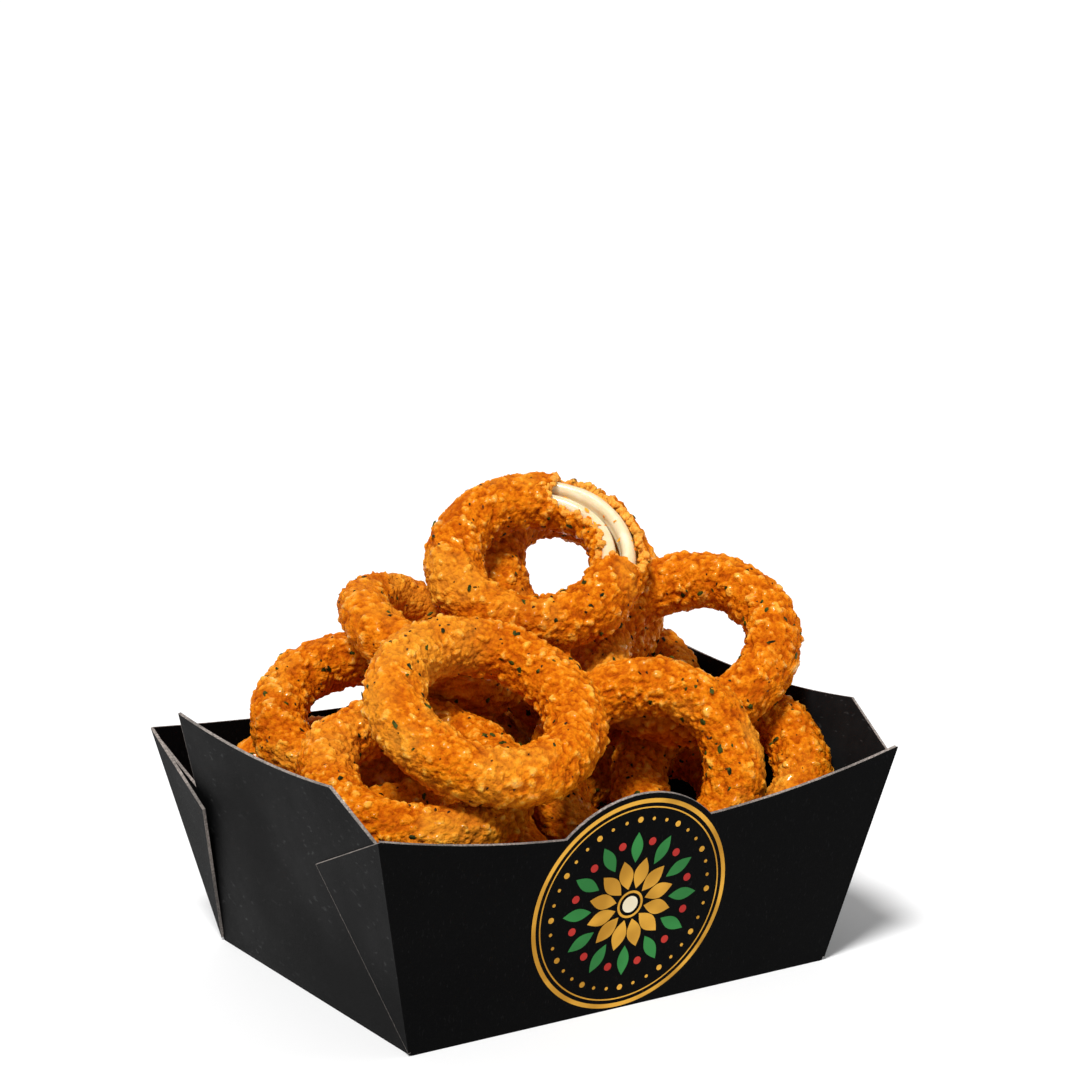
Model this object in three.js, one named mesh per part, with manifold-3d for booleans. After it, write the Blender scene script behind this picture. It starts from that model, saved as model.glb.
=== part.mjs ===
// Onion rings side: breaded onion rings heaped in a folded card tray, one of them torn open.
// Millimetres, +Z up. The origin is the middle of the tray's underside, and the tray's front faces -Y.
import * as THREE from "three";
import { mergeVertices } from "three/addons/utils/BufferGeometryUtils.js";
import Module from "manifold-3d";

const wasm = await Module();
wasm.setup();

// Tray: a card blank folded up from a flat base, with walls that lean outwards.
const CARD = 0.8;
const BASE_X = 132;
const BASE_Y = 105;
const FLARE_X = 15;
const FLARE_Y = 12;
const WALL_HEIGHT = 62;
const RIM_DIP = 10.5;
const BACK_RIM_DIP = 3;
const BADGE_RADIUS = 32;
const BADGE_X = -3;
const BADGE_UP = 31;
const SIDE_PEAK = 73;
const SIDE_DIP = 2.5;
const SIDE_PEAK_Y = 43;
const SIDE_SHOULDER = 3;
const SIDE_NOTCH = { y: 43.8, up: 50.5 };
const FLAP_UP = 47;
const FRONT_FLAP = { reach: 27, lift: 0.3 };
const BACK_FLAP = { reach: 17, lift: 2.5 };
const FLAP_SINK = 0.15;
const FLAP_FOOT = 1;
const CURVE_STEPS = 20;

// Rings: the largest tube radius, and how much of it the uneven batter takes away.
const TUBE = 8.6;
const LOW_TUBE = 8.1;
const TUBE_THINNING = 0.6;
const CRAG_DEPTH = 1.3;
const CRAG_WAVES = [[5, 2], [9, -3], [13, 1], [7, 4], [14, -2], [11, 3]];
const OVAL_SHARE = 0.012;
const BOW = 0.35;
const TOP_SEGMENTS = [32, 11];
const LOW_SEGMENTS = [20, 9];

// The torn ring: a crust round a tunnel, with two onion layers side by side in it.
const TORN_TUBE = 8.7;
const TORN_SEGMENTS = [36, 12];
const TUNNEL_RADIUS = 5.9;
const TUNNEL_RISE = 0.9;
const TUNNEL_SEGMENTS = [28, 8];
const LAYER_OFFSET = 2.75;
const LAYER_HALF_WIDTH = 2.4;
const LAYER_HALF_HEIGHT = 4.5;
const LAYER_SEGMENTS = [28, 8];
const TEAR_FROM = -14;
const TEAR_TO = 80;
const TEAR_INNER = 6;
const TEAR_OUTER = 7.4;
const TEAR_FLOOR = 1.6;
const TEAR_RAGGED = 1.1;
const TEAR_TEETH = 9;

// Herb flakes on the rings that lie on top.
const FLAKE_LENGTH = 2.6;
const FLAKE_WIDTH = 1.5;
const FLAKE_HEIGHT = 0.9;
const FLAKES_EACH = 5;
const FLAKE_CLEARANCE = 1.4;
const FLAKE_TRIES = 200;
const FLAKE_MIN_UP = 0.1;
const FLAKE_MAX_BACK = 0.5;

const MERGE_REACH = 1e-4;
const LOW_SEED = 31;
const TORN_SEED = 5;

// Each ring: where its middle is, how far it leans from level, which way its upper face looks
// (0 is the tray's front, positive is towards +X), and the radius of its centre line.
const topRings = {
  ring_back: { at: [44, 41.8, 93.5], lean: 53, facing: 1, radius: 23.8 },
  ring_right: { at: [52, -6.5, 82], lean: 37, facing: -49, radius: 24.8 },
  ring_upper_left: { at: [-29, -29, 80], lean: 31, facing: -4, radius: 24.6 },
  ring_front: { at: [17.5, -35.5, 57], lean: 66, facing: -35, radius: 24.2 },
  ring_left_back: { at: [-32, 30.5, 65.5], lean: 31, facing: -30, radius: 23.9 },
  ring_left_front: { at: [-44.5, -19.5, 61], lean: 22, facing: -9, radius: 24 },
  ring_right_low: { at: [50.5, -25, 49.5], lean: 42, facing: -46, radius: 22.9 },
};
const tornRing = { at: [20, 22.5, 105.5], lean: 38, facing: -32, radius: 23.4 };
const lowRings = {
  low_ring_1: { at: [-32, 5.5, 9], lean: 0, facing: 0, radius: 23.4 },
  low_ring_2: { at: [31.5, -1, 9], lean: 0, facing: 0, radius: 23.7 },
  low_ring_3: { at: [-41, 49.5, 31.5], lean: 79, facing: 0, radius: 22.7 },
  low_ring_4: { at: [42.5, 43.5, 30.5], lean: 75, facing: -15, radius: 22 },
  low_ring_5: { at: [-42, -27.5, 39.5], lean: 24, facing: -7, radius: 23.8 },
  low_ring_6: { at: [-4, -25.5, 24.5], lean: 25, facing: -6, radius: 22.7 },
  low_ring_7: { at: [-45.5, 16, 31.5], lean: 27, facing: 57, radius: 22.6 },
  low_ring_8: { at: [-4, 30, 47], lean: 38, facing: 15, radius: 23.1 },
  low_ring_9: { at: [49, 34.5, 65.5], lean: 19, facing: -15, radius: 24.2 },
  low_ring_10: { at: [46, 6, 32.5], lean: 30, facing: -63, radius: 23.4 },
  low_ring_11: { at: [-13, 24.5, 85.5], lean: 30, facing: 48, radius: 22.5 },
};

const cardFinish = { color: 0x0c0c0d, roughness: 0.72, metalness: 0 };
const crustFinish = { color: 0xd9852a, roughness: 0.55, metalness: 0 };
const onionFinish = { color: 0xf1e3c4, roughness: 0.35, metalness: 0 };

const TURN = 2 * Math.PI;
const degrees = THREE.MathUtils.degToRad;

// A closed geometry as a solid: only positions are kept, so shared corners merge.
function toSolid(geometry, matrix) {
  const bare = geometry.clone();
  bare.deleteAttribute("normal");
  bare.deleteAttribute("uv");
  if (matrix) bare.applyMatrix4(matrix);
  const merged = mergeVertices(bare, MERGE_REACH);
  const vertProperties = new Float32Array(merged.attributes.position.array);
  const triVerts = new Uint32Array(merged.index.array);
  return new wasm.Manifold(new wasm.Mesh({ numProp: 3, vertProperties, triVerts }));
}

function toGeometry(solid) {
  const { vertProperties, triVerts } = solid.getMesh();
  const geometry = new THREE.BufferGeometry();
  geometry.setAttribute("position", new THREE.BufferAttribute(new Float32Array(vertProperties), 3));
  geometry.setIndex(new THREE.BufferAttribute(new Uint32Array(triVerts), 1));
  geometry.computeVertexNormals();
  return geometry;
}

function namedMesh(name, geometry, finish) {
  const mesh = new THREE.Mesh(geometry, new THREE.MeshStandardMaterial(finish));
  mesh.name = name;
  return mesh;
}

// Repeatable draws between 0 and 1.
function seededDraw(seed) {
  let state = seed * 2654435761;
  return () => {
    state = (state + 0x6d2b79f5) >>> 0;
    let mixed = Math.imul(state ^ (state >>> 15), state | 1);
    mixed ^= mixed + Math.imul(mixed ^ (mixed >>> 7), mixed | 61);
    return ((mixed ^ (mixed >>> 14)) >>> 0) / 4294967296;
  };
}

// ---- Tray ----

// A flat card panel: its outline is drawn with x across and y up the panel, and the card's thickness
// goes to the side that across x up points away from.
function cardPanel(outline, origin, across, up) {
  const outward = new THREE.Vector3().crossVectors(across, up).normalize();
  const geometry = new THREE.ExtrudeGeometry(new THREE.Shape(outline), { depth: CARD, bevelEnabled: false });
  const place = new THREE.Matrix4().makeBasis(across, up, outward);
  place.setPosition(origin.clone().addScaledVector(outward, -CARD));
  return toSolid(geometry, place);
}

// The end wall's rim from one corner to the other: a shallow arc that dips in the middle.
function rimPoints(halfWidth, height, dip) {
  const points = [];
  for (let i = 0; i <= CURVE_STEPS; i++) {
    const across = 1 - (2 * i) / CURVE_STEPS;
    points.push(new THREE.Vector2(halfWidth * across, height - dip * (1 - across * across)));
  }
  return points;
}

function endWallOutline(dip) {
  const slant = Math.hypot(FLARE_Y, WALL_HEIGHT);
  const foot = BASE_X / 2;
  const top = foot + FLARE_X;
  return [new THREE.Vector2(-foot, 0), new THREE.Vector2(foot, 0), ...rimPoints(top, slant, dip)];
}

// The side wall's rim: high in the middle, cut down at the front corner, and cut away behind the
// back flap, so that it stops short of the back wall. The panel's x points to the tray's front.
function sideWallOutline() {
  const slant = Math.hypot(FLARE_X, WALL_HEIGHT);
  const foot = BASE_Y / 2;
  const top = foot + FLARE_Y;
  const crest = [];
  for (let i = 0; i <= CURVE_STEPS; i++) {
    const across = 1 - (2 * i) / CURVE_STEPS;
    const dip = SIDE_DIP * (1 - across * across);
    crest.push(new THREE.Vector2(SIDE_PEAK_Y * across, SIDE_PEAK - dip));
  }
  const shoulderUp = slant - SIDE_SHOULDER;
  const shoulder = foot + (top - foot) * (shoulderUp / slant);
  return [
    new THREE.Vector2(-foot, 0),
    new THREE.Vector2(foot, 0),
    new THREE.Vector2(shoulder, shoulderUp),
    ...crest,
    new THREE.Vector2(-SIDE_NOTCH.y, SIDE_NOTCH.up),
    new THREE.Vector2(-shoulder, shoulderUp),
  ];
}

function mirroredOutline(outline) {
  return outline.map((point) => new THREE.Vector2(-point.x, point.y)).reverse();
}

// A wall on the side that "across" and the lean's direction give, standing on the base's edge.
function wallAxes(side) {
  const outwards = { front: [0, -1], right: [1, 0], back: [0, 1], left: [-1, 0] }[side];
  const flare = side === "front" || side === "back" ? FLARE_Y : FLARE_X;
  const reach = side === "front" || side === "back" ? BASE_Y / 2 : BASE_X / 2;
  const [x, y] = outwards;
  return {
    origin: new THREE.Vector3(x * reach, y * reach, 0),
    across: new THREE.Vector3(-y, x, 0),
    up: new THREE.Vector3(x * flare, y * flare, WALL_HEIGHT).normalize(),
  };
}

// A glue flap: folded round a corner from the end wall, it lies on the outside of the side wall.
// Its free tip may stand off the wall by a small lift.
function glueFlap(sideX, endY, { reach, lift }) {
  const bottom = new THREE.Vector3((sideX * BASE_X) / 2, (endY * BASE_Y) / 2, 0);
  const flared = new THREE.Vector3(sideX * FLARE_X, endY * FLARE_Y, WALL_HEIGHT);
  const wallUp = new THREE.Vector3(sideX * FLARE_X, 0, WALL_HEIGHT).normalize();
  const outward = new THREE.Vector3(sideX * WALL_HEIGHT, 0, -FLARE_X).normalize();
  const tip = bottom.clone().setY(endY * (BASE_Y / 2 - reach));
  tip.addScaledVector(wallUp, FLAP_UP).addScaledVector(outward, lift);
  const corner = flared.clone().normalize();
  const toTip = tip.clone().sub(bottom);
  const away = toTip.clone().addScaledVector(corner, -toTip.dot(corner));
  const across = away.clone().normalize();
  const outline = [
    new THREE.Vector2(0, FLAP_FOOT),
    new THREE.Vector2(away.length(), toTip.dot(corner)),
    new THREE.Vector2(0, flared.length()),
  ];
  const facing = new THREE.Vector3().crossVectors(across, corner);
  const sunk = bottom.clone().addScaledVector(outward, CARD - FLAP_SINK);
  if (facing.dot(outward) > 0) return cardPanel(outline, sunk, across, corner);
  return cardPanel(mirroredOutline(outline), sunk, across.negate(), corner);
}

function badgeOutline() {
  const badge = new THREE.Shape();
  badge.absarc(BADGE_X, BADGE_UP, BADGE_RADIUS, 0, TURN);
  return badge.getPoints(CURVE_STEPS * 2).slice(0, -1).filter((p) => p.y > 0);
}

function makeTray() {
  const base = new THREE.BoxGeometry(BASE_X, BASE_Y, CARD).translate(0, 0, CARD / 2);
  let tray = toSolid(base);
  const outlines = {
    front: endWallOutline(RIM_DIP),
    back: endWallOutline(BACK_RIM_DIP),
    left: sideWallOutline(),
    right: mirroredOutline(sideWallOutline()),
  };
  for (const [side, outline] of Object.entries(outlines)) {
    const { origin, across, up } = wallAxes(side);
    tray = tray.add(cardPanel(outline, origin, across, up));
    if (side === "front") tray = tray.add(cardPanel(badgeOutline(), origin, across, up));
  }
  for (const sideX of [-1, 1]) {
    tray = tray.add(glueFlap(sideX, -1, FRONT_FLAP));
    tray = tray.add(glueFlap(sideX, 1, BACK_FLAP));
  }
  return namedMesh("card_tray", toGeometry(tray), cardFinish);
}

// ---- Rings ----

// A torus whose batter is uneven: thick and thin along its length, knobbly all over, a little
// oval and bowed. Nothing of it stands out past the tube radius that is given.
function unevenTorus(radius, tube, segments, seed) {
  const [along, around] = segments;
  const draw = seededDraw(seed);
  const thinPhase = draw() * TURN;
  const ovalPhase = draw() * TURN;
  const bowPhase = draw() * TURN;
  const crags = CRAG_WAVES.map((waves) => [...waves, draw() * TURN]);
  const geometry = new THREE.TorusGeometry(radius, tube, around, along);
  const place = geometry.attributes.position;
  for (let i = 0; i < place.count; i++) {
    const x = place.getX(i);
    const y = place.getY(i);
    const turn = Math.atan2(y, x);
    const roll = Math.atan2(place.getZ(i), Math.hypot(x, y) - radius);
    let crag = 0;
    for (const [a, b, phase] of crags) crag += Math.sin(a * turn + b * roll + phase);
    const thin = (1 + Math.sin(3 * turn + thinPhase) * Math.cos(turn + bowPhase)) / 2;
    const size = tube - TUBE_THINNING * thin - (CRAG_DEPTH * (crags.length - crag)) / (2 * crags.length);
    const line = radius * (1 + OVAL_SHARE * Math.cos(2 * turn + ovalPhase));
    const out = line + size * Math.cos(roll);
    const bow = BOW * Math.sin(2 * turn + bowPhase);
    place.setXYZ(i, out * Math.cos(turn), out * Math.sin(turn), bow + size * Math.sin(roll));
  }
  return geometry;
}

// A plain torus with an elliptical tube, for the tunnel and the onion layers in it.
function ovalTorus(radius, halfWidth, halfHeight, rise, segments) {
  const [along, around] = segments;
  const geometry = new THREE.TorusGeometry(radius, halfWidth, around, along);
  return geometry.scale(1, 1, halfHeight / halfWidth).translate(0, 0, rise);
}

// The place of a ring as a matrix: leaned about its own middle, then turned to its facing.
function ringPlace({ at, lean, facing }) {
  const turned = new THREE.Euler(degrees(lean), 0, degrees(facing), "ZXY");
  return new THREE.Matrix4().makeRotationFromEuler(turned).setPosition(...at);
}

function placed(mesh, ring) {
  mesh.applyMatrix4(ringPlace(ring));
  return mesh;
}

// How far a point is from a ring's centre line.
function lineDistance(point, ring) {
  const local = point.clone().applyMatrix4(ringPlace(ring).invert());
  return Math.hypot(Math.hypot(local.x, local.y) - ring.radius, local.z);
}

// Herb flakes stuck on the upper side of a ring, clear of the other rings.
function addFlakes(solid, geometry, ring, others, seed) {
  const draw = seededDraw(seed);
  const place = geometry.attributes.position;
  const matrix = ringPlace(ring);
  let made = solid;
  let count = 0;
  for (let tries = 0; tries < FLAKE_TRIES && count < FLAKES_EACH; tries++) {
    const index = Math.floor(draw() * place.count);
    const spot = new THREE.Vector3().fromBufferAttribute(place, index);
    const turn = Math.atan2(spot.y, spot.x);
    const middle = new THREE.Vector3(Math.cos(turn), Math.sin(turn), 0).multiplyScalar(ring.radius);
    const outward = spot.clone().sub(middle).normalize();
    const spin = draw() * TURN;
    const seen = outward.clone().transformDirection(matrix);
    const world = spot.clone().applyMatrix4(matrix);
    const clear = others.every((o) => lineDistance(world, o) > TORN_TUBE + FLAKE_CLEARANCE);
    if (!clear || seen.z < FLAKE_MIN_UP || seen.y > FLAKE_MAX_BACK) continue;
    const flake = new THREE.OctahedronGeometry(0.5).scale(FLAKE_LENGTH, FLAKE_WIDTH, FLAKE_HEIGHT);
    flake.rotateZ(spin);
    const facing = new THREE.Quaternion().setFromUnitVectors(new THREE.Vector3(0, 0, 1), outward);
    const stuck = new THREE.Matrix4().makeRotationFromQuaternion(facing).setPosition(spot);
    made = made.add(toSolid(flake, stuck));
    count += 1;
  }
  return made;
}

function makeTopRing(name, ring, others, seed) {
  const geometry = unevenTorus(ring.radius, TUBE, TOP_SEGMENTS, seed);
  const solid = addFlakes(toSolid(geometry), geometry, ring, others, seed);
  return placed(namedMesh(name, toGeometry(solid), crustFinish), ring);
}

function makeLowRing(name, ring, seed) {
  return placed(namedMesh(name, unevenTorus(ring.radius, LOW_TUBE, LOW_SEGMENTS, seed), crustFinish), ring);
}

// The ragged window that is torn in the crust's upper face, as a block that cuts down to the tunnel.
function tearBlock(radius, seed) {
  const draw = seededDraw(seed);
  const from = degrees(TEAR_FROM);
  const sweep = degrees(TEAR_TO - TEAR_FROM);
  const edge = (reach, i) => {
    const angle = from + (sweep * i) / TEAR_TEETH;
    const ragged = reach + (draw() - 0.5) * 2 * TEAR_RAGGED;
    return new THREE.Vector2(ragged * Math.cos(angle), ragged * Math.sin(angle));
  };
  const outline = [];
  for (let i = 0; i <= TEAR_TEETH; i++) outline.push(edge(radius + TEAR_OUTER, i));
  for (let i = TEAR_TEETH; i >= 0; i--) outline.push(edge(radius - TEAR_INNER, i));
  const block = new THREE.ExtrudeGeometry(new THREE.Shape(outline), { depth: TORN_TUBE * 2, bevelEnabled: false });
  return toSolid(block.translate(0, 0, TEAR_FLOOR));
}

function makeTornRing(ring, seed) {
  const { radius } = ring;
  const geometry = unevenTorus(radius, TORN_TUBE, TORN_SEGMENTS, seed);
  const tunnel = ovalTorus(radius, TUNNEL_RADIUS, TUNNEL_RADIUS, TUNNEL_RISE, TUNNEL_SEGMENTS);
  const crust = toSolid(geometry).subtract(toSolid(tunnel)).subtract(tearBlock(radius, seed));
  const layer = (side) =>
    ovalTorus(radius + side * LAYER_OFFSET, LAYER_HALF_WIDTH, LAYER_HALF_HEIGHT, TUNNEL_RISE, LAYER_SEGMENTS);
  return [
    placed(namedMesh("torn_ring_crust", toGeometry(crust), crustFinish), ring),
    placed(namedMesh("onion_layer_outer", layer(1), onionFinish), ring),
    placed(namedMesh("onion_layer_inner", layer(-1), onionFinish), ring),
  ];
}

const group = new THREE.Group();
group.add(makeTray());
const everyRing = [...Object.values(topRings), ...Object.values(lowRings), tornRing];
Object.entries(topRings).forEach(([name, ring], i) => {
  group.add(makeTopRing(name, ring, everyRing.filter((other) => other !== ring), i + 1));
});
Object.entries(lowRings).forEach(([name, ring], i) => group.add(makeLowRing(name, ring, i + LOW_SEED)));
group.add(...makeTornRing(tornRing, TORN_SEED));

export default group;
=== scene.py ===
import math

import bmesh
import bpy
import numpy as np
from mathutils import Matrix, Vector
from mathutils.bvhtree import BVHTree


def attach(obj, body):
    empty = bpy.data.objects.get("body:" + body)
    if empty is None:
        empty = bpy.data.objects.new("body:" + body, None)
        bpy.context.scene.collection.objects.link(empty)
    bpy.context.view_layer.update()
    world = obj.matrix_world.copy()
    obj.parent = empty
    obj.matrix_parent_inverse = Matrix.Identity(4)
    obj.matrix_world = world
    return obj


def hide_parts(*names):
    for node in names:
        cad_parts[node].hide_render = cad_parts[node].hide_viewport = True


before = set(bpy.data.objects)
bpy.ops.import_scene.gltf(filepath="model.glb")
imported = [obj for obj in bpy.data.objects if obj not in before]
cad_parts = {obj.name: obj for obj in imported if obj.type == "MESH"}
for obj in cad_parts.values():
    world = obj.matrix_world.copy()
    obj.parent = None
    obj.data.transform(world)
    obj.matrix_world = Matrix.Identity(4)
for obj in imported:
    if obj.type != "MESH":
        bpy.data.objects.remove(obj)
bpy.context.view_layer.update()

mm = 0.001
turn = 2 * math.pi

topRings = ["ring_back", "ring_right", "ring_upper_left", "ring_front",
            "ring_left_back", "ring_left_front", "ring_right_low"]
lowRings = sorted(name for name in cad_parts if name.startswith("low_ring_"))


class Wire:
    # A socket that can be used in sums: each sign adds its Math node.
    def __init__(self, web, socket):
        self.web = web
        self.socket = socket

    def maths(self, operation, first, second):
        return self.web.add("ShaderNodeMath", {"operation": operation}, {0: first, 1: second})

    def __add__(self, other):
        return self.maths("ADD", self, other)

    def __radd__(self, other):
        return self.maths("ADD", other, self)

    def __sub__(self, other):
        return self.maths("SUBTRACT", self, other)

    def __rsub__(self, other):
        return self.maths("SUBTRACT", other, self)

    def __mul__(self, other):
        return self.maths("MULTIPLY", self, other)

    def __rmul__(self, other):
        return self.maths("MULTIPLY", other, self)


class Web:
    # One material and its nodes.
    def __init__(self, name):
        self.material = bpy.data.materials.new(name)
        self.material.use_nodes = True
        self.tree = self.material.node_tree
        self.tree.nodes.clear()

    def add(self, kind, settings=None, sockets=None, output=0):
        node = self.tree.nodes.new(kind)
        for key, value in (settings or {}).items():
            if key == "stops":
                self.setStops(node.color_ramp, value)
            else:
                setattr(node, key, value)
        for key, value in (sockets or {}).items():
            if isinstance(value, Wire):
                self.tree.links.new(value.socket, node.inputs[key])
            else:
                node.inputs[key].default_value = value
        return Wire(self, node.outputs[output]) if node.outputs else None

    def setStops(self, ramp, stops):
        while len(ramp.elements) < len(stops):
            ramp.elements.new(0.5)
        for element, (place, colour) in zip(ramp.elements, stops):
            element.position = place
            element.color = (*colour, 1)

    def place(self):
        return self.add("ShaderNodeTexCoord", output="Object")

    def noise(self, grain, detail=3, roughness=0.55, stretch=(1, 1, 1)):
        # grain is the size of the pattern in metres. A stretch under 1 draws it out along that axis.
        place = self.add("ShaderNodeVectorMath", {"operation": "MULTIPLY"}, {0: self.place(), 1: stretch})
        sockets = {"Vector": place, "Scale": 1 / grain, "Detail": detail, "Roughness": roughness}
        return self.add("ShaderNodeTexNoise", {}, sockets, output="Fac")

    def cells(self, grain):
        sockets = {"Vector": self.place(), "Scale": 1 / grain}
        return self.add("ShaderNodeTexVoronoi", {"feature": "F1"}, sockets, output="Distance")

    def stored(self, name):
        return self.add("ShaderNodeAttribute", {"attribute_name": name}, output="Fac")

    def facing(self, axis):
        # 1 where the surface faces along the axis, either way, and 0 where it faces another
        normal = self.add("ShaderNodeTexCoord", output="Normal")
        along = self.add("ShaderNodeSeparateXYZ", {}, {0: normal}, output=axis)
        return self.between(along * along, 0.4, 0.8)

    def ramp(self, value, stops):
        return self.add("ShaderNodeValToRGB", {"stops": stops}, {"Fac": value})

    def between(self, value, low, high):
        # 0 below low and 1 above high, with a smooth step between them
        sockets = {"Value": value, "From Min": low, "From Max": high, "To Min": 0.0, "To Max": 1.0}
        return self.add("ShaderNodeMapRange", {"interpolation_type": "SMOOTHSTEP"}, sockets)

    def mixed(self, factor, first, second):
        return self.add("ShaderNodeMix", {"data_type": "RGBA"}, {0: factor, 6: first, 7: second}, output=2)

    def bump(self, height, distance, strength=1.0):
        sockets = {"Height": height, "Distance": distance, "Strength": strength}
        return self.add("ShaderNodeBump", {}, sockets)

    def finish(self, **sockets):
        named = {key.replace("_", " "): value for key, value in sockets.items()}
        shader = self.add("ShaderNodeBsdfPrincipled", {}, named)
        self.add("ShaderNodeOutputMaterial", {}, {"Surface": shader})
        return self.material


def rgba(colour):
    return (*colour, 1)


def nodeMesh(name):
    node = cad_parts[name]
    mesh = node.data
    flat = np.empty(len(mesh.vertices) * 3)
    mesh.vertices.foreach_get("co", flat)
    matrix = np.array(node.matrix_world)
    points = flat.reshape(-1, 3) @ matrix[:3, :3].T + matrix[:3, 3]
    faces = [tuple(polygon.vertices) for polygon in mesh.polygons]
    return points, faces


def newPiece(name, points, faces, materials, nodes=(), smooth=True):
    # A mesh on the part's one body, which stands for the nodes that it replaces.
    mesh = bpy.data.meshes.new(name)
    faces = faces.tolist() if isinstance(faces, np.ndarray) else faces
    mesh.from_pydata(np.asarray(points).tolist(), [], faces)
    mesh.update()
    for material in materials:
        mesh.materials.append(material)
    mesh.polygons.foreach_set("use_smooth", [smooth] * len(mesh.polygons))
    piece = bpy.data.objects.new(name, mesh)
    bpy.context.scene.collection.objects.link(piece)
    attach(piece, "root")
    if nodes:
        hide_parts(*nodes)
    return piece


def store(piece, name, values):
    # A number for each point of the mesh, for its material to read.
    attribute = piece.data.attributes.new(name, "FLOAT", "POINT")
    attribute.data.foreach_set("value", np.asarray(values, dtype=float).ravel())


# Large odd numbers that scramble a cell's place into a draw which looks random.
scramble = {
    "axes": (73856093, 19349663, 83492791),
    "salt": 7919,
    "rounds": ((15, 1274126177), (13, 1103515245)),
    "lastShift": 16,
    "word": 0xffffffff,
    "half": 0xffff,
}


def cellRandom(cells, salt):
    # A draw from 0 to 1 for each cell, the same on every run.
    mixed = salt * scramble["salt"]
    for axis, factor in enumerate(scramble["axes"]):
        mixed = mixed ^ (cells[..., axis] * factor)
    mixed = mixed & scramble["word"]
    for shift, factor in scramble["rounds"]:
        mixed = ((mixed ^ (mixed >> shift)) * factor) & scramble["word"]
    return ((mixed ^ (mixed >> scramble["lastShift"])) & scramble["half"]) / scramble["half"]


def cellDistance(points, size, seed):
    # Distance to the nearest of the points that are scattered one to a cell, and that point's own draw.
    scaled = points / size
    home = np.floor(scaled).astype(np.int64)
    nearest = np.full(len(points), np.inf)
    draw = np.zeros(len(points))
    for offset in np.ndindex(3, 3, 3):
        cell = home + np.array(offset) - 1
        spot = cell + np.stack([cellRandom(cell, seed + salt) for salt in (1, 2, 3)], axis=-1)
        distance = np.linalg.norm(spot - scaled, axis=1)
        closer = distance < nearest
        nearest = np.where(closer, distance, nearest)
        draw = np.where(closer, cellRandom(cell, seed + 4), draw)
    return nearest, draw


def rolling(points, size, seed, waves=7, span=3):
    # Slow waves through space. Their sum seldom passes the span, so this is between about -1 and 1.
    random = np.random.default_rng(seed)
    total = np.zeros(len(points))
    for _ in range(waves):
        direction = random.normal(size=3)
        direction *= turn / size / np.linalg.norm(direction)
        total += np.sin(points @ direction + random.uniform(0, turn))
    return total / span


def trayWalls(sole=0.5 * mm):
    # The outer plane of each wall and of the base: a point on it, and its outward normal.
    points, _ = nodeMesh("card_tray")
    foot = points[points[:, 2] < sole]
    halfX, halfY = foot[:, 0].max(), foot[:, 1].max()
    middle = points[np.abs(points[:, 1]) < halfY / 2]
    peak = middle[middle[:, 2].argmax()]
    corner = points[points[:, 1].argmax()]
    leanX = (abs(peak[0]) - halfX) / peak[2]
    leanY = (corner[1] - halfY) / corner[2]
    sides = {"right": (1, 0, leanX), "left": (-1, 0, leanX), "back": (0, 1, leanY), "front": (0, -1, leanY)}
    found = {}
    for name, (x, y, lean) in sides.items():
        out = np.array([x, y, -lean]) / math.hypot(1, lean)
        found[name] = {"foot": np.array([x * halfX, y * halfY, 0]), "out": out}
    found["base"] = {"foot": np.zeros(3), "out": np.array([0, 0, -1])}
    return found


walls = trayWalls()
roomBehind = {                   # how far inside the card's outer face they stay
    "crust": 0.9 * mm,
    "fleck": 2.2 * mm,
}


def pressedIn(points):
    # The crust lies flat against the card where it would come through it.
    for wall in walls.values():
        past = (points - wall["foot"]) @ wall["out"] + roomBehind["crust"]
        points = points - np.clip(past, 0, None)[:, None] * wall["out"]
    return points


def clearOfCard(points):
    depths = [(points - wall["foot"]) @ wall["out"] for wall in walls.values()]
    return np.max(depths, axis=0) < -roomBehind["fleck"]


# Whole rings: each keeps its solid's centre line and slow unevenness, with a finer crust on it.
ringShape = {
    "topSteps": (336, 112),      # mesh steps along and round a ring that shows
    "lowSteps": (164, 56),
    "castSteps": (96, 33),       # where the solid's own surface is measured
    "castFrom": 0.55,            # where the rays start, as a share of the ring's radius
    "keptWaves": (14, 4),        # how much of the solid's unevenness is kept
    "swell": 0.5 * mm,
    "lumpSize": 5.4 * mm,
    "lumpHeight": 0.95 * mm,
    "knobSize": 2.15 * mm,
    "knobHeight": 1.45 * mm,
    "grainSize": 1.2 * mm,
    "grainHeight": 0.42 * mm,
    "warp": 0.4 * mm,            # how far the knobs are pulled out of round
    "warpSize": 4.2 * mm,
    "calmSize": 16 * mm,         # stretches with lower and with higher knobs
    "knobReach": 0.74,           # a knob's radius, as a share of its cell
    "lowest": {"lump": 0.5, "knob": 0.3, "grain": 0.4},     # as a share of the highest
    "calm": (0.9, 0.25),         # the share of their height that knobs usually have, and its drift
    "calmRange": (0.6, 1.2),
    "liftShares": {"lump": 0.25, "knob": 0.6, "grain": 0.3},
    "liftFrom": 0.05,
    "salts": {"warp": (5, 6, 7), "calm": 9, "knob": 40, "grain": 80},   # set its draws apart
    "seed": 11,
    "seedStep": 100,
}


def ringLine(points, levelUnder=0.02):
    # A ring's middle, its axis, two spokes square to that, and the radius of its centre line.
    centre = points.mean(axis=0)
    axis = np.linalg.svd(points - centre, full_matrices=False)[2][2]
    axis = axis if axis[2] > 0 else -axis
    first = np.cross([0.0, 0.0, 1.0], axis)
    level = np.linalg.norm(first) < levelUnder
    first = np.array([1.0, 0.0, 0.0]) if level else first / np.linalg.norm(first)
    first = first - axis * (first @ axis)
    first /= np.linalg.norm(first)
    second = np.cross(axis, first)
    flat = (points - centre) - np.outer((points - centre) @ axis, axis)
    return {"centre": centre, "axis": axis, "spokes": (first, second),
            "radius": np.linalg.norm(flat, axis=1).mean()}


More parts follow.
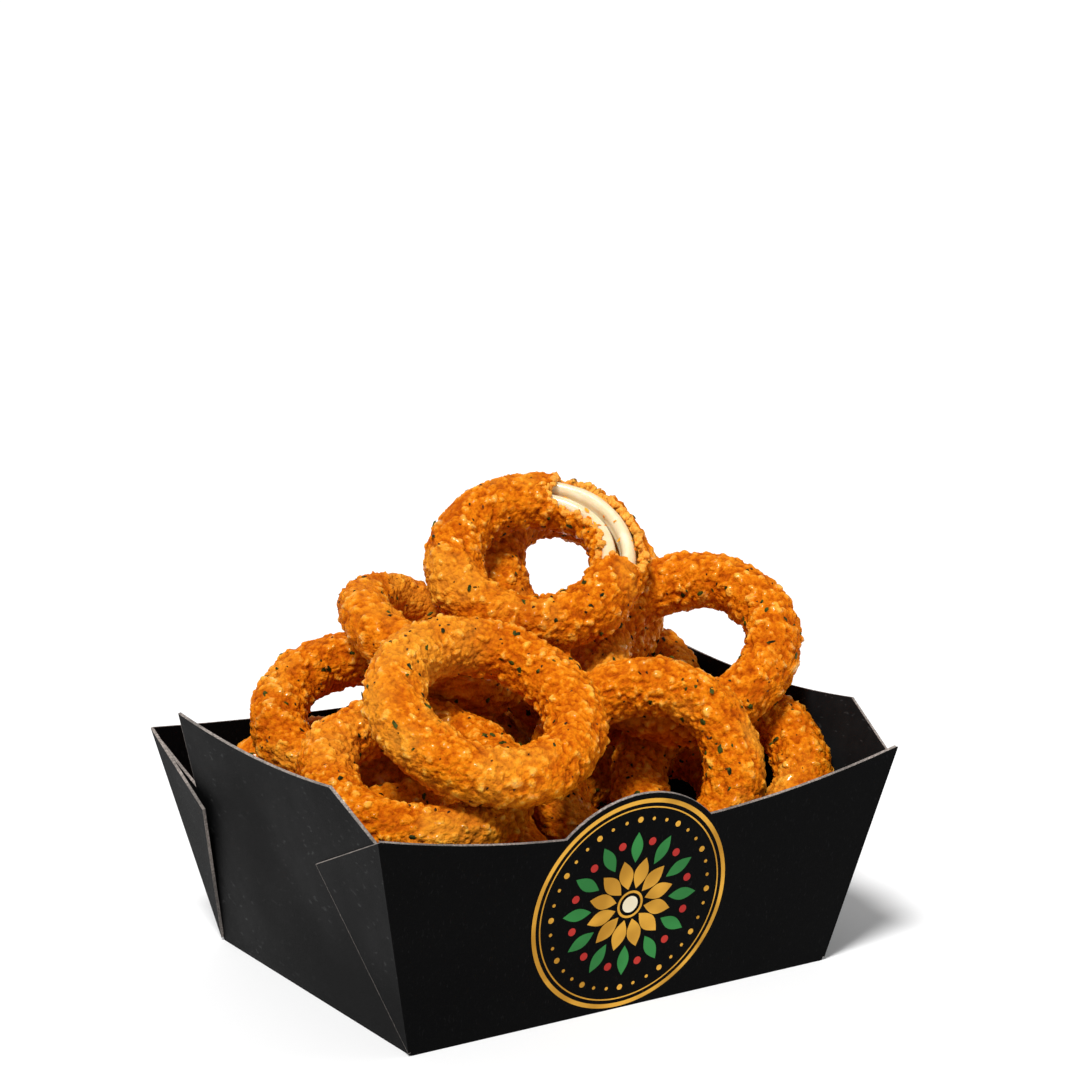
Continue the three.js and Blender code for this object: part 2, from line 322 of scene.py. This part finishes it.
def ringGrid(line, steps):
    along, around = (np.arange(count) * turn / count for count in steps)
    first, second = line["spokes"]
    spoke = np.outer(np.cos(along), first) + np.outer(np.sin(along), second)
    middle = (line["centre"] + line["radius"] * spoke)[:, None, :]
    outward = np.cos(around)[None, :, None] * spoke[:, None, :]
    outward = outward + np.sin(around)[None, :, None] * line["axis"]
    return np.broadcast_to(middle, outward.shape), outward


def castReach(name, line, steps):
    # How far the solid's outer surface is from the centre line, in each direction round it.
    points, faces = nodeMesh(name)
    tree = BVHTree.FromPolygons([Vector(point) for point in points], faces)
    start = ringShape["castFrom"] * line["radius"]
    middle, outward = ringGrid(line, steps)
    reach = np.zeros(steps)
    for index in np.ndindex(*steps):
        direction = Vector(outward[index])
        hit = tree.ray_cast(Vector(middle[index]) + direction * start, -direction, start)
        reach[index] = start - hit[3] if hit[0] else 0
    return reach


def finer(field, kept, steps):
    # The field on a finer grid, with only its slower waves.
    spectrum = np.fft.fft2(field)
    fine = np.zeros(steps, dtype=complex)
    alongWaves, aroundWaves = kept
    for wave in range(-alongWaves, alongWaves + 1):
        fine[wave, :aroundWaves + 1] = spectrum[wave, :aroundWaves + 1]
        fine[wave, -aroundWaves:] = spectrum[wave, -aroundWaves:]
    return np.fft.ifft2(fine).real * fine.size / field.size


def gridFaces(steps):
    along, around = steps
    i, j = np.meshgrid(np.arange(along), np.arange(around), indexing="ij")
    nextI, nextJ = (i + 1) % along, (j + 1) % around
    corners = [i * around + j, nextI * around + j, nextI * around + nextJ, i * around + nextJ]
    return np.stack(corners, axis=-1).reshape(-1, 4)


def dome(distance, reach, draw, lowest):
    # A round top over each scattered point, from the lowest share of its height to all of it.
    return np.sqrt(np.clip(1 - (distance / reach) ** 2, 0, 1)) * (lowest + (1 - lowest) * draw)


def crustRelief(points, seed):
    # Knobs on lumps, with sharp grooves between them: the height, and 0 to 1 from groove to knob.
    salts, lowest, shares = ringShape["salts"], ringShape["lowest"], ringShape["liftShares"]
    pulls = [rolling(points, ringShape["warpSize"], seed + salt) for salt in salts["warp"]]
    warped = points + ringShape["warp"] * np.stack(pulls, axis=-1)
    lump, lumpDraw = cellDistance(warped, ringShape["lumpSize"], seed)
    knob, knobDraw = cellDistance(warped, ringShape["knobSize"], seed + salts["knob"])
    grain, grainDraw = cellDistance(warped, ringShape["grainSize"], seed + salts["grain"])
    lump = dome(lump, 1, lumpDraw, lowest["lump"])
    knob = dome(knob, ringShape["knobReach"], knobDraw ** 2, lowest["knob"])
    grain = dome(grain, ringShape["knobReach"], grainDraw, lowest["grain"])
    usual, drift = ringShape["calm"]
    calm = usual + drift * rolling(points, ringShape["calmSize"], seed + salts["calm"])
    calm = np.clip(calm, *ringShape["calmRange"])
    height = lump * ringShape["lumpHeight"] + calm * knob * ringShape["knobHeight"]
    height = height + grain * ringShape["grainHeight"]
    lift = shares["lump"] * lump + shares["knob"] * knob + shares["grain"] * grain
    return height - height.mean(), np.clip(lift - ringShape["liftFrom"], 0, 1)


def crustSurface(name, line, steps, seed, reach=None):
    reach = castReach(name, line, ringShape["castSteps"]) if reach is None else reach
    reach = finer(reach, ringShape["keptWaves"], steps) + ringShape["swell"]
    middle, outward = ringGrid(line, steps)
    base = (middle + outward * reach[..., None]).reshape(-1, 3)
    outward = outward.reshape(-1, 3)
    height, lift = crustRelief(base, seed)
    return pressedIn(base + outward * height[:, None]), outward, lift


crustLook = {
    # groove and shade are partly painted shade for the grooves, crest partly painted light for the knob
    # tops
    "groove": (0.28, 0.040, 0.0004),
    "shade": (0.54, 0.104, 0.001),
    "golden": (0.80, 0.222, 0.004),
    "crest": (0.94, 0.455, 0.050),
    "browned": (0.44, 0.070, 0.0006),
    "pale": (0.95, 0.48, 0.045),
    "speckle": 0.9 * mm,         # the sizes of the patterns
    "patch": 11 * mm,
    "drift": 30 * mm,
    "oil": 2.8 * mm,
    "crumb": 1.3 * mm,
    "grit": 0.65 * mm,
    "relief": 0.62 * mm,
    "brownedShare": 0.5,
    "paleShare": 0.28,
}


def makeCrust():
    # Fried breadcrumb crust, browned in patches. The colour follows the relief: golden on the knobs and
    # deeper orange in the grooves, partly the crust's own colour and partly painted light on the knobs and
    # painted shade in the grooves.
    look = crustLook
    web = Web("friedCrust")
    lift = web.stored("lift")
    speckle = web.noise(look["speckle"], 4, 0.65)
    patch = web.noise(look["patch"], 3)
    drift = web.noise(look["drift"], 2)
    # Darker low down and lighter on the knob tops: painted shade and painted light, over the crust's own
    # tones.
    depth = lift * 0.95 + speckle * 0.6 - 0.26
    colour = web.ramp(depth, [(0.08, look["groove"]), (0.32, look["shade"]),
                              (0.58, look["golden"]), (0.86, look["crest"])])
    browned = web.between(patch, 0.52, 0.72) * look["brownedShare"]
    colour = web.mixed(browned, colour, rgba(look["browned"]))
    pale = web.between(drift, 0.5, 0.7) * look["paleShare"]
    colour = web.mixed(pale, colour, rgba(look["pale"]))
    crumbs = web.cells(look["crumb"])
    grit = web.cells(look["grit"])
    height = speckle * 0.5 + (1 - crumbs * crumbs) * 0.8 + (1 - grit * grit) * 0.3
    oily = web.between(lift, 0.48, 0.82) * web.between(web.noise(look["oil"], 2), 0.36, 0.56)
    return web.finish(Base_Color=colour, Roughness=speckle * 0.25 + 0.5,
                      Normal=web.bump(height, look["relief"]),
                      Coat_Weight=oily * 0.95, Coat_Roughness=0.16, Specular_IOR_Level=0.03)


batterLook = {
    "deep": (0.82, 0.26, 0.006),
    "crumb": (0.94, 0.44, 0.036),
    "speckle": 1.1 * mm,
    "pore": 1.0 * mm,
    "relief": 0.6 * mm,
}


def makeBatter():
    # The torn face of the crust: pale, bready and matt.
    look = batterLook
    web = Web("tornBatter")
    speckle = web.noise(look["speckle"], 4, 0.7)
    pores = web.cells(look["pore"])
    colour = web.mixed(web.between(speckle, 0.35, 0.62), rgba(look["deep"]), rgba(look["crumb"]))
    height = speckle * 0.6 + pores * 0.4
    return web.finish(Base_Color=colour, Roughness=0.6, Normal=web.bump(height, look["relief"]))


def buildWholeRing(name, steps, seed, crust):
    line = ringLine(nodeMesh(name)[0])
    points, outward, lift = crustSurface(name, line, steps, seed)
    piece = newPiece(name + "_crust", points, gridFaces(steps), [crust], [name])
    store(piece, "lift", lift)
    return points, outward


# The torn ring: its crust is open where the solid's is, over two onion layers.
tornShape = {
    "steps": (330, 108),
    "castSteps": (180, 60),
    "openBelow": 6.4 * mm,       # the crust is torn away where the solid's surface is nearer its line
    "windowWaves": (34, 13),     # how sharply the window's outline is drawn
    "widened": 0.06,
    "wall": 2.5 * mm,
    "ragged": (0.20, 0.10),      # how far small teeth and wider bites move the edge
    "raggedSize": (3.5 * mm, 8 * mm),
    "raggedSeeds": (77, 78),
    "openFrom": 0.5,             # on the window's soft field, which goes from 0 to 1
    "wholeUnder": 0.4,
    "batterLumps": 110,
    "lumpSize": (0.5 * mm, 1.15 * mm),
    "lumpDepth": (0.5, 1.9),     # in millimetres below the crust's face
    "lumpStretch": (0.75, 1.25),
    "lumpDent": 0.14,
    "lumpDentSize": 1.6,         # in the lump's own radius
    "lumpSeed": 52,
    "rise": 0.9 * mm,            # the onion layers lie this much above the crust's own centre line
    "seed": 501,
}


def tornLine():
    outer = ringLine(nodeMesh("onion_layer_outer")[0])
    inner = ringLine(nodeMesh("onion_layer_inner")[0])
    line = dict(outer)
    line["centre"] = (outer["centre"] + inner["centre"]) / 2 - outer["axis"] * tornShape["rise"]
    line["radius"] = (outer["radius"] + inner["radius"]) / 2
    return line


def buildTornCrust(crust, batter):
    # Gives the points and directions of the crust that is left, and where along the ring it is open.
    name = "torn_ring_crust"
    steps = tornShape["steps"]
    line = tornLine()
    reach = castReach(name, line, tornShape["castSteps"])
    window = reach < tornShape["openBelow"]
    reach[window] = reach[~window].mean()
    points, outward, lift = crustSurface(name, line, steps, tornShape["seed"], reach)
    soft = finer(window.astype(float), tornShape["windowWaves"], steps).ravel() + tornShape["widened"]
    for size, depth, seed in zip(tornShape["raggedSize"], tornShape["ragged"], tornShape["raggedSeeds"]):
        soft = soft + depth * rolling(points, size, seed)
    faces = gridFaces(steps)
    kept = soft[faces].mean(axis=1) < tornShape["openFrom"]
    rim = np.intersect1d(faces[kept], faces[~kept])
    addLumps(points[rim], outward[rim], batter)
    piece = newPiece("torn_ring_shell", points, faces[kept], [crust, batter], [name])
    store(piece, "lift", lift)
    shell = piece.modifiers.new("wall", "SOLIDIFY")
    shell.thickness = tornShape["wall"]
    shell.offset = -1
    shell.material_offset = 1
    shell.material_offset_rim = 1
    bakeModifiers(piece)
    whole = soft < tornShape["wholeUnder"]
    return points[whole], outward[whole], window.any(axis=1)


def addLumps(points, outward, batter):
    # Soft lumps of batter along the torn edge.
    random = np.random.default_rng(tornShape["lumpSeed"])
    ball = bmesh.new()
    bmesh.ops.create_icosphere(ball, subdivisions=2, radius=1)
    corners = np.array([corner.co for corner in ball.verts])
    sides = np.array([[corner.index for corner in face.verts] for face in ball.faces])
    ball.free()
    allPoints, allFaces = [], []
    for number in range(tornShape["batterLumps"]):
        at = random.integers(len(points))
        size = random.uniform(*tornShape["lumpSize"])
        middle = points[at] - outward[at] * random.uniform(*tornShape["lumpDepth"]) * mm
        stretch = random.uniform(*tornShape["lumpStretch"], size=3)
        dent = tornShape["lumpDent"] * rolling(corners, tornShape["lumpDentSize"], number)
        dented = corners * (1 + dent)[:, None]
        allFaces.append(sides + len(corners) * number)
        allPoints.append(middle + dented * stretch * size)
    newPiece("torn_batter_lumps", np.concatenate(allPoints), np.concatenate(allFaces), [batter])


def bakeModifiers(piece):
    graph = bpy.context.evaluated_depsgraph_get()
    made = bpy.data.meshes.new_from_object(piece.evaluated_get(graph))
    piece.modifiers.clear()
    old = piece.data
    piece.data = made
    bpy.data.meshes.remove(old)


strandShape = {
    "seeds": {"onion_layer_outer": 3, "onion_layer_inner": 8},
    "steps": (240, 40),
    "castSteps": (64, 24),
    "keptWaves": (5, 4),
    "furrows": ((5, 1, 0.06 * mm), (11, 2, 0.02 * mm)),   # how many round it, their turn and depth
    "sway": 0.18 * mm,
    "swaySize": 14 * mm,
    "hollowDepth": 0.2 * mm,     # a furrow this deep gets the whole painted shade
    "hollowShare": 0.4,
    "upward": 0.3,               # crumbs lie where the layer faces up at least this much
}
onionLook = {
    "cream": (0.84, 0.72, 0.48),
    # clear is the colour of the painted shade in the furrows
    "clear": (0.80, 0.55, 0.27),
    "bright": (0.90, 0.82, 0.62),
    "cloud": 5 * mm,
    "fibre": 0.7 * mm,
    "relief": 0.12 * mm,
}


def makeOnion():
    # Cooked onion: translucent cream with fine fibres, and a painted shade of deeper, warmer colour in the
    # furrows.
    look = onionLook
    web = Web("cookedOnion")
    cloud = web.noise(look["cloud"], 3)
    fibre = web.noise(look["fibre"], 2)
    colour = web.mixed(web.between(cloud, 0.4, 0.65), rgba(look["cream"]), rgba(look["bright"]))
    colour = web.mixed(web.stored("hollow") * 0.75, colour, rgba(look["clear"]))
    return web.finish(Base_Color=colour, Roughness=0.22, Normal=web.bump(fibre, look["relief"], 0.5),
                      Subsurface_Weight=0.55, Subsurface_Radius=(1.0, 0.75, 0.45),
                      Subsurface_Scale=3 * mm, Coat_Weight=0.3, Coat_Roughness=0.12)


def buildStrand(name, onion, seed, opened):
    # Gives the points and directions of its upper face in the window.
    line = ringLine(nodeMesh(name)[0])
    steps = strandShape["steps"]
    reach = finer(castReach(name, line, strandShape["castSteps"]), strandShape["keptWaves"], steps)
    middle, outward = ringGrid(line, steps)
    base = (middle + outward * reach[..., None]).reshape(-1, 3)
    outward = outward.reshape(-1, 3)
    around = np.arange(steps[1]) * turn / steps[1]
    furrow = sum(np.cos(around * count + turned * seed) * depth
                 for count, turned, depth in strandShape["furrows"])
    furrow = np.tile(furrow, steps[0])
    height = furrow + strandShape["sway"] * rolling(base, strandShape["swaySize"], seed)
    piece = newPiece(name + "_strand", base + outward * height[:, None], gridFaces(steps),
                     [onion], [name])
    # How much painted shade each point gets, from how deep its furrow is.
    hollow = strandShape["hollowShare"] - furrow / strandShape["hollowDepth"]
    store(piece, "hollow", np.clip(hollow, 0, 1))
    bare = opened[np.arange(steps[0]) * len(opened) // steps[0]]
    shown = np.repeat(bare, steps[1]) & (outward @ line["axis"] > strandShape["upward"])
    return base[shown], outward[shown]


# Herb and pepper flecks, and the crumbs on the onion.
fleckLook = {
    "herb": {"each": 72, "size": (1.2 * mm, 2.8 * mm), "seed": 1, "tornSeed": 90,
             "colours": ((0.008, 0.010, 0.002), (0.055, 0.066, 0.006))},
    "pepper": {"each": 66, "size": (0.6 * mm, 1.4 * mm), "seed": 60, "tornSeed": 91,
               "colours": ((0.012, 0.006, 0.003), (0.09, 0.03, 0.008))},
    "crumb": {"each": 9, "size": (0.8 * mm, 2.6 * mm),
              "colours": ((0.74, 0.19, 0.004), (0.92, 0.42, 0.03))},
    "corners": 6,
    "width": (0.4, 0.75),        # as a share of the length
    "uneven": (0.75, 1.1),
    "twist": 0.25,
    "curl": (-0.1, 0.25),        # in millimetres off the crust, at each corner
    "thickness": 0.3 * mm,
    "crown": 0.15,
    "cloud": 2.5 * mm,
    "grain": 0.4 * mm,
    "relief": 0.15 * mm,
}


def addFlecks(points, outward, kind, seed, gathered):
    # Adds flat, uneven flakes at drawn places to the gathered points and faces.
    inside = clearOfCard(points)
    points, outward = points[inside], outward[inside]
    look = fleckLook
    count = look["corners"]
    random = np.random.default_rng(seed)
    for _ in range(look[kind]["each"]):
        at = random.integers(len(points))
        normal = outward[at]
        side = np.cross(normal, random.normal(size=3))
        side /= np.linalg.norm(side)
        other = np.cross(normal, side)
        length = random.uniform(*look[kind]["size"])
        width = length * random.uniform(*look["width"])
        corners = []
        for k in range(count):
            angle = turn * k / count + random.uniform(-look["twist"], look["twist"])
            wide = random.uniform(*look["uneven"]) / 2
            lift = random.uniform(*look["curl"]) * mm
            corners.append(points[at] + side * length * wide * math.cos(angle)
                           + other * width * wide * math.sin(angle) + normal * lift)
        top = points[at] + normal * (look["thickness"] + random.uniform(0, look["crown"]) * mm)
        foot = points[at] - normal * look["thickness"]
        first = len(gathered["points"])
        gathered["points"] += [*corners, top, foot]
        for k in range(count):
            following = (k + 1) % count
            gathered["faces"].append((first + k, first + following, first + count))
            gathered["faces"].append((first + following, first + k, first + count + 1))


def makeFleck(name, dark, light):
    look = fleckLook
    web = Web(name)
    cloud = web.noise(look["cloud"], 2)
    colour = web.mixed(web.between(cloud, 0.4, 0.6), rgba(dark), rgba(light))
    grain = web.noise(look["grain"])
    return web.finish(Base_Color=colour, Roughness=0.55, Normal=web.bump(grain, look["relief"]),
                      Specular_IOR_Level=0.1)


# The folded card tray.
trayLook = {
    "panelReach": 5 * mm,        # a panel's face is this near its wall's plane, and faces along it
    "panelFacing": 0.93,
    "wearAndHighlightWidth": 0.12 * mm,           # width of the pale strip beside a cut edge: worn ink, and a painted highlight along the edge
    "paleStripLift": 0.02 * mm,
    "weld": 0.01 * mm,
}
cardLook = {
    "deep": (0.0005, 0.0005, 0.0006),
    "fibre": (0.0014, 0.0014, 0.0015),
    # colour of the painted sheen on the end panels
    "paintedSheen": (0.0125, 0.0125, 0.0128),
    "scratch": (0.05, 0.05, 0.05),
    "fibreSize": 0.5 * mm,
    "scratchWidth": 0.42 * mm,
    "scratchStretch": (1, 0.16, 0.3),
    "cloudSize": 46 * mm,
    # size of the patches that break up the painted sheen
    "sheenBreakupSize": 5 * mm,
    "relief": 0.09 * mm,
}
edgeLook = {
    "dark": (0.16, 0.135, 0.12),
    "pale": (0.38, 0.33, 0.295),
    "soiled": (0.06, 0.055, 0.05),
    "fibreSize": 0.6 * mm,
    "soiledSize": 14 * mm,
    "relief": 0.1 * mm,
}


def makeCard():
    # Black card with fine scratches. The end panels get a painted sheen, lighter patches that stand in for
    # the light they catch; the long panels are nearly plain.
    look = cardLook
    web = Web("blackCard")
    fibre = web.noise(look["fibreSize"], 4, 0.7)
    scratches = web.noise(look["scratchWidth"], 1, 0.4, stretch=look["scratchStretch"])
    cloud = web.noise(look["cloudSize"], 2, 0.4)
    sheenBreakup = web.noise(look["sheenBreakupSize"], 3)
    ends = web.facing("X")
    colour = web.mixed(web.between(fibre, 0.4, 0.62), rgba(look["deep"]), rgba(look["fibre"]))
    # Painted sheen: lighter colour in broad patches, mostly on the end panels, for the light they catch.
    # The smaller noise only breaks it into patches.
    sheenPatches = web.between(sheenBreakup, 0.3, 0.7) * 0.3 + 0.7
    paintedSheen = web.between(cloud, 0.36, 0.66) * sheenPatches * (ends * 0.85 + 0.05)
    colour = web.mixed(paintedSheen, colour, rgba(look["paintedSheen"]))
    # The scratches are real wear, shown more strongly where the painted sheen is.
    scratched = web.between(scratches, 0.66, 0.76) * (paintedSheen * 0.6 + 0.08)
    colour = web.mixed(scratched, colour, rgba(look["scratch"]))
    return web.finish(Base_Color=colour, Roughness=fibre * 0.2 + 0.45,
                      Normal=web.bump(fibre, look["relief"], 0.7), Specular_IOR_Level=0.03)


def makeCutEdge():
    # The grey-brown board that shows where the card is cut.
    look = edgeLook
    web = Web("cardCutEdge")
    fibre = web.noise(look["fibreSize"], 3)
    soiled = web.noise(look["soiledSize"], 2)
    colour = web.mixed(web.between(fibre, 0.35, 0.65), rgba(look["dark"]), rgba(look["pale"]))
    colour = web.mixed(web.between(soiled, 0.45, 0.7) * 0.6, colour, rgba(look["soiled"]))
    return web.finish(Base_Color=colour, Roughness=0.8, Normal=web.bump(fibre, look["relief"]))


def isCutEdge(face):
    middle = face.calc_center_median()
    for wall in walls.values():
        out = Vector(wall["out"])
        near = abs((middle - Vector(wall["foot"])).dot(out)) < trayLook["panelReach"]
        if near and abs(face.normal.dot(out)) > trayLook["panelFacing"]:
            return False
    return True


def wearAndHighlightStrip(edge, panel):
    # A thin flat strip along the edge, on the panel's face, in the pale board colour: worn ink, and a
    # painted highlight along the edge.
    start, end = (corner.co for corner in edge.verts)
    inward = panel.normal.cross(end - start).normalized()
    if inward.dot(panel.calc_center_median() - start) < 0:
        inward = -inward
    lift = panel.normal * trayLook["paleStripLift"]
    width = inward * trayLook["wearAndHighlightWidth"]
    return [start + lift, end + lift, end + lift + width, start + lift + width]


def buildTray(card, cutEdge):
    points, faces = nodeMesh("card_tray")
    piece = newPiece("tray_card", points, faces, [card, cutEdge], ["card_tray"], smooth=False)
    mesh = bmesh.new()
    mesh.from_mesh(piece.data)
    bmesh.ops.remove_doubles(mesh, verts=mesh.verts, dist=trayLook["weld"])
    mesh.normal_update()
    cuts = {face for face in mesh.faces if isCutEdge(face)}
    for face in mesh.faces:
        face.material_index = 1 if face in cuts else 0
    strips = []
    for edge in mesh.edges:
        panels = [face for face in edge.link_faces if face not in cuts]
        outerEdge = len(edge.link_faces) == 2 and edge.calc_face_angle_signed(0) > 0
        if outerEdge and len(panels) == 1:
            strips += wearAndHighlightStrip(edge, panels[0])
    mesh.to_mesh(piece.data)
    mesh.free()
    # Pale strips along the outer cut edges: worn ink, and a painted highlight of each edge.
    quads = np.arange(len(strips)).reshape(-1, 4)
    newPiece("tray_wear_and_highlight_edges", strips, quads, [cutEdge], smooth=False)


# The print on the tray's badge: a generic rosette.
printLook = {
    "middle": (-3 * mm, 31 * mm),    # across and up the front panel
    "lift": 0.06 * mm,
    "bands": ((30.4 * mm, 1.25 * mm), (28.1 * mm, 0.4 * mm)),    # outer radius and width
    "dotRadius": 24.6 * mm,
    "dots": 36,
    "bigDotEvery": 3,
    "dotSizes": (0.85 * mm, 0.5 * mm),
    "petals": 12,
    "petal": (13.5 * mm, 4.6 * mm, 4.4 * mm),    # how far it reaches, where it starts, its width
    "leaf": (21 * mm, 12.2 * mm, 3.6 * mm),
    "berryRadius": 18.2 * mm,
    "berrySize": 1.15 * mm,
    "collar": (4.0 * mm, 0.7 * mm),
    "heartSize": 2.4 * mm,
    "inkFade": 16 * mm,
    "inkGrain": 0.5 * mm,
    "inkRelief": 0.04 * mm,
}
inks = {
    "goldInk": ((0.46, 0.215, 0.018), (0.78, 0.40, 0.046), 0.35, 0.36),    # with metallic and roughness
    "greenInk": ((0.02, 0.17, 0.035), (0.03, 0.24, 0.05), 0.0, 0.42),
    "redInk": ((0.42, 0.02, 0.015), (0.52, 0.03, 0.02), 0.0, 0.42),
    "creamInk": ((0.78, 0.66, 0.42), (0.88, 0.80, 0.60), 0.0, 0.42),
}


def flatPrint(name, shapes, material):
    # Flat shapes given across and up the front panel, from the badge's middle.
    front = walls["front"]
    panelUp = np.cross(front["out"], (1, 0, 0))
    middleX, middleUp = printLook["middle"]
    points, faces = [], []
    for outline, sides in shapes:
        first = len(points)
        for x, up in outline:
            at = front["foot"] + panelUp * (middleUp + up) + front["out"] * printLook["lift"]
            points.append(at + np.array([middleX + x, 0, 0]))
        faces += [tuple(first + index for index in side) for side in sides]
    newPiece(name, points, faces, [material], smooth=False)


def bandShape(outer, width, steps=144):
    outline = []
    for k in range(steps):
        angle = turn * k / steps
        for radius in (outer, outer - width):
            outline.append((radius * math.cos(angle), radius * math.sin(angle)))
    quads = []
    for k in range(steps):
        following = (k + 1) % steps
        quads.append((2 * k, 2 * following, 2 * following + 1, 2 * k + 1))
    return outline, quads


def leafShape(reach, start, width, angle, steps=12):
    # A pointed leaf from start to reach, turned to angle.
    edge = []
    for side in (1, -1):
        for k in range(steps):
            share = k / steps if side == 1 else 1 - k / steps
            along = start + (reach - start) * share
            edge.append((along, side * width / 2 * math.sin(math.pi * share)))
    turned = [(a * math.cos(angle) - b * math.sin(angle), a * math.sin(angle) + b * math.cos(angle))
              for a, b in edge]
    return turned, [tuple(range(len(turned)))]


def discShape(x, up, radius, steps=20):
    outline = [(x + radius * math.cos(turn * k / steps), up + radius * math.sin(turn * k / steps))
               for k in range(steps)]
    return outline, [tuple(range(steps))]


def makeInk(name):
    dark, light, metallic, roughness = inks[name]
    web = Web(name)
    fade = web.noise(printLook["inkFade"], 2)
    grain = web.noise(printLook["inkGrain"])
    colour = web.mixed(web.between(fade, 0.35, 0.65), rgba(dark), rgba(light))
    return web.finish(Base_Color=colour, Roughness=roughness, Metallic=metallic,
                      Normal=web.bump(grain, printLook["inkRelief"], 0.5), Specular_IOR_Level=0.12)


def buildPrint():
    look = printLook
    gold, green, red, cream = (makeInk(name) for name in inks)
    rings = [bandShape(*band) for band in look["bands"]]
    for k in range(look["dots"]):
        angle = turn * k / look["dots"]
        size = look["dotSizes"][1 if k % look["bigDotEvery"] else 0]
        at = look["dotRadius"]
        rings.append(discShape(at * math.cos(angle), at * math.sin(angle), size))
    petals, leaves, berries = [], [], []
    for k in range(look["petals"]):
        angle = turn * (k + 0.5) / look["petals"]
        petals.append(leafShape(*look["petal"], angle))
        leaves.append(leafShape(*look["leaf"], angle + turn / 2 / look["petals"]))
        at = look["berryRadius"]
        berries.append(discShape(at * math.cos(angle), at * math.sin(angle), look["berrySize"]))
    flatPrint("badge_gold_rings", rings, gold)
    flatPrint("badge_petals", petals + [bandShape(*look["collar"], 48)], gold)
    flatPrint("badge_leaves", leaves, green)
    flatPrint("badge_berries", berries, red)
    flatPrint("badge_heart", [discShape(0, 0, look["heartSize"], 32)], cream)


# The camera's place is given by angles round the target, in degrees.
cameraView = {
    "azimuth": -32.8,
    "elevation": 11.1,
    "distance": 0.768,
    "lens": 93.33,
    "target": (0.0067, 0.0, 0.1167),
    "sensor": 36,
    "nearest": 0.01,
}


def buildCamera():
    azimuth = math.radians(cameraView["azimuth"])
    elevation = math.radians(cameraView["elevation"])
    back = Vector((math.sin(azimuth) * math.cos(elevation), -math.cos(azimuth) * math.cos(elevation),
                   math.sin(elevation)))
    camera = bpy.data.objects.new("camera", bpy.data.cameras.new("camera"))
    camera.data.lens = cameraView["lens"]
    camera.data.sensor_width = cameraView["sensor"]
    camera.data.clip_start = cameraView["nearest"]
    camera.location = Vector(cameraView["target"]) + back * cameraView["distance"]
    camera.rotation_euler = back.to_track_quat("Z", "Y").to_euler()
    bpy.context.scene.collection.objects.link(camera)
    bpy.context.scene.camera = camera


studio = {
    "sun": {"from": (-0.5, -0.42, 1.0), "power": 3.4, "angle": 14},
    "fill": {"at": (0.95, -0.6, 0.5), "size": 0.9, "power": 2.2},
    "back": {"at": (0.1, 0.9, 0.75), "size": 0.7, "power": 1.8},
    "world": 0.28,
    "floor": (0.90, 0.90, 0.90),
    "floorShade": 0.97,
    "floorGrain": 0.4,
    "floorDrop": 0.05 * mm,      # the floor lies this much under the tray, so that their faces don't meet
    "reach": 240,
}


def addLight(name, kind, place, power):
    lamp = bpy.data.lights.new(name, kind)
    lamp.energy = power
    light = bpy.data.objects.new(name, lamp)
    light.location = place
    light.rotation_euler = Vector(place).to_track_quat("Z", "Y").to_euler()
    bpy.context.scene.collection.objects.link(light)
    return lamp


def buildStudio():
    sun = addLight("sun", "SUN", studio["sun"]["from"], studio["sun"]["power"])
    sun.angle = math.radians(studio["sun"]["angle"])
    for name in ("fill", "back"):
        look = studio[name]
        addLight(name, "AREA", look["at"], look["power"]).size = look["size"]
    world = bpy.data.worlds.new("studioWorld")
    world.use_nodes = True
    world.node_tree.nodes["Background"].inputs["Color"].default_value = (1, 1, 1, 1)
    world.node_tree.nodes["Background"].inputs["Strength"].default_value = studio["world"]
    bpy.context.scene.world = world
    web = Web("paleFloor")
    grain = web.noise(studio["floorGrain"], 2)
    darker = tuple(value * studio["floorShade"] for value in studio["floor"])
    shade = web.mixed(grain, rgba(studio["floor"]), rgba(darker))
    paper = web.finish(Base_Color=shade, Roughness=0.9, Specular_IOR_Level=0.0)
    mesh = bpy.data.meshes.new("floor")
    reach = studio["reach"]
    corners = [(-reach, -reach, 0), (reach, -reach, 0), (reach, reach, 0), (-reach, reach, 0)]
    mesh.from_pydata(corners, [], [(0, 1, 2, 3)])
    mesh.materials.append(paper)
    floor = bpy.data.objects.new("floor", mesh)
    floor.location.z = -studio["floorDrop"]
    bpy.context.scene.collection.objects.link(floor)
    bpy.context.scene.view_settings.view_transform = "Standard"


buildCamera()
buildStudio()
print("camera and studio ready")

crust = makeCrust()
flecks = {kind: {"points": [], "faces": []} for kind in ("herb", "pepper", "crumb")}
for number, name in enumerate(topRings + lowRings):
    steps = ringShape["topSteps"] if name in topRings else ringShape["lowSteps"]
    seed = ringShape["seed"] + number * ringShape["seedStep"]
    points, outward = buildWholeRing(name, steps, seed, crust)
    for kind in ("herb", "pepper"):
        addFlecks(points, outward, kind, number + fleckLook[kind]["seed"], flecks[kind])
print("whole rings ready")

points, outward, opened = buildTornCrust(crust, makeBatter())
for kind in ("herb", "pepper"):
    addFlecks(points, outward, kind, fleckLook[kind]["tornSeed"], flecks[kind])
onion = makeOnion()
for name, seed in strandShape["seeds"].items():
    points, outward = buildStrand(name, onion, seed, opened)
    addFlecks(points, outward, "crumb", seed, flecks["crumb"])
print("torn ring ready")

for kind, name, finish in (("herb", "herb_flecks", "driedHerb"),
                           ("pepper", "pepper_flecks", "darkSpice"),
                           ("crumb", "onion_crumbs", "looseCrumb")):
    material = makeFleck(finish, *fleckLook[kind]["colours"])
    newPiece(name, flecks[kind]["points"], flecks[kind]["faces"], [material], smooth=False)
print("flecks ready")

buildTray(makeCard(), makeCutEdge())
buildPrint()
print("tray ready")
